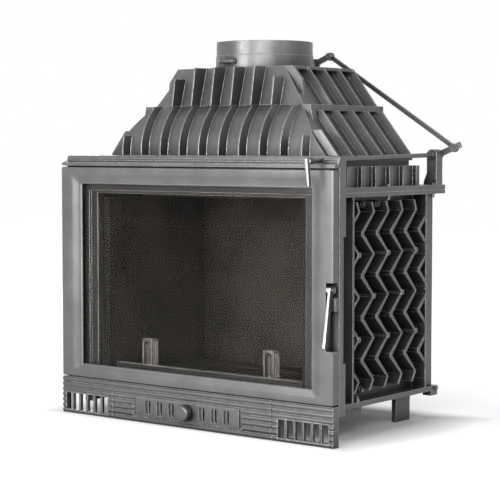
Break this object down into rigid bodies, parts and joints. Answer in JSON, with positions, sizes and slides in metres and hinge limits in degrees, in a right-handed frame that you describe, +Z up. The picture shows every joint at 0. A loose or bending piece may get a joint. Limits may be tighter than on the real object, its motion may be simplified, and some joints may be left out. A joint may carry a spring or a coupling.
{
  "type": "fireplace insert",
  "caption": "Closed cast-iron fireplace insert with a side-hinged glass door, ribbed smoke hood, flue damper worked by a front lever, and an ash drawer with an air slider.",
  "frame": {"origin": "on the floor, below the middle of the base's front strip, halfway through its thickness", "axes": "+X to the right as seen from the front, +Y to the back, +Z up along the flue"},
  "size_m": [0.716, 0.4791, 0.7726],
  "materials": {
    "iron": "satin",
    "lining": "matte",
    "chrome": "polished",
    "polished": "polished",
    "steel": "satin",
    "glass": "clear",
    "rope": "woven"
  },
  "bodies": {
    "body": {"front_frame": "iron", "base_sill": "iron", "left_grille": "iron", "right_grille": "iron", "base_bolts": "steel", "left_cheek": "iron", "right_cheek": "iron", "floor_plate": "iron", "foot_studs": "steel", "tie_bolts": "steel", "rear_legs": "iron", "left_wall": "iron", "right_wall": "iron", "rear_wall": "iron", "wall_bolts": "steel", "left_lining": "lining", "right_lining": "lining", "rear_lining": "lining", "hearth": "lining", "grate": "lining", "log_guard": "lining", "smoke_baffle": "lining", "hood_lower": "iron", "hood_upper": "iron", "hood_bolts": "steel", "flue_collar": "iron", "rod_bracket": "iron", "hinge_pins": "steel", "hinge_cap": "steel", "latch_keeper": "iron", "drawer_runners": "steel"},
    "door": {"door_frame": "iron", "door_glass": "glass", "glass_gasket": "rope", "glass_retainers": "steel", "retainer_screws": "steel", "door_rope": "rope", "handle_pin": "steel"},
    "handle": {"door_handle": "polished"},
    "drawer": {"drawer_front": "iron", "ash_pan": "steel"},
    "slider": {"air_slider": "iron", "air_knob": "iron", "slider_nut": "steel"},
    "damper": {"damper_rod": "iron", "damper_lever": "chrome", "lower_crank": "iron", "lower_pin": "steel", "rod_collar": "steel"},
    "link": {"link_rod": "iron"},
    "flap": {"flap_shaft": "iron", "damper_flap": "iron", "flap_screws": "steel", "upper_crank": "iron", "upper_pin": "steel"}
  },
  "joints": [
    {"name": "door_hinge", "type": "hinge", "parent": "body", "child": "door", "pos_m": [-0.3365, -0.0025, 0.29781], "axis": [0, 0, -1], "range_deg": [0, 110]},
    {"name": "handle_turn", "type": "hinge", "parent": "door", "child": "handle", "pos_m": [0.3375, -0.001, 0.29421], "axis": [-1, 0, 0], "range_deg": [0, 30]},
    {"name": "drawer_slide", "type": "slide", "parent": "body", "child": "drawer", "axis": [0, -1, 0], "range_m": [0, 0.25]},
    {"name": "air_slide", "type": "slide", "parent": "drawer", "child": "slider", "axis": [1, 0, 0], "range_m": [-0.0085, 0.007]},
    {"name": "damper_turn", "type": "hinge", "parent": "body", "child": "damper", "pos_m": [0.3076, 0.423, 0.54216], "axis": [0, 0.9998, 0.0209], "range_deg": [0, 85]},
    {"name": "link_swing", "type": "hinge", "parent": "damper", "child": "link", "pos_m": [0.34191, 0.42271, 0.55602], "axis": [0, 0.9998, 0.0209], "range_deg": [-85, 0]},
    {"name": "flap_turn", "type": "hinge", "parent": "body", "child": "flap", "pos_m": [0, 0.41891, 0.73729], "axis": [0, 0.9998, 0.0209], "range_deg": [0, 85]}
  ],
  "couplings": [
    {"joint": "link_swing", "follows": "damper_turn", "ratio": -1},
    {"joint": "flap_turn", "follows": "damper_turn", "ratio": 1}
  ]
}
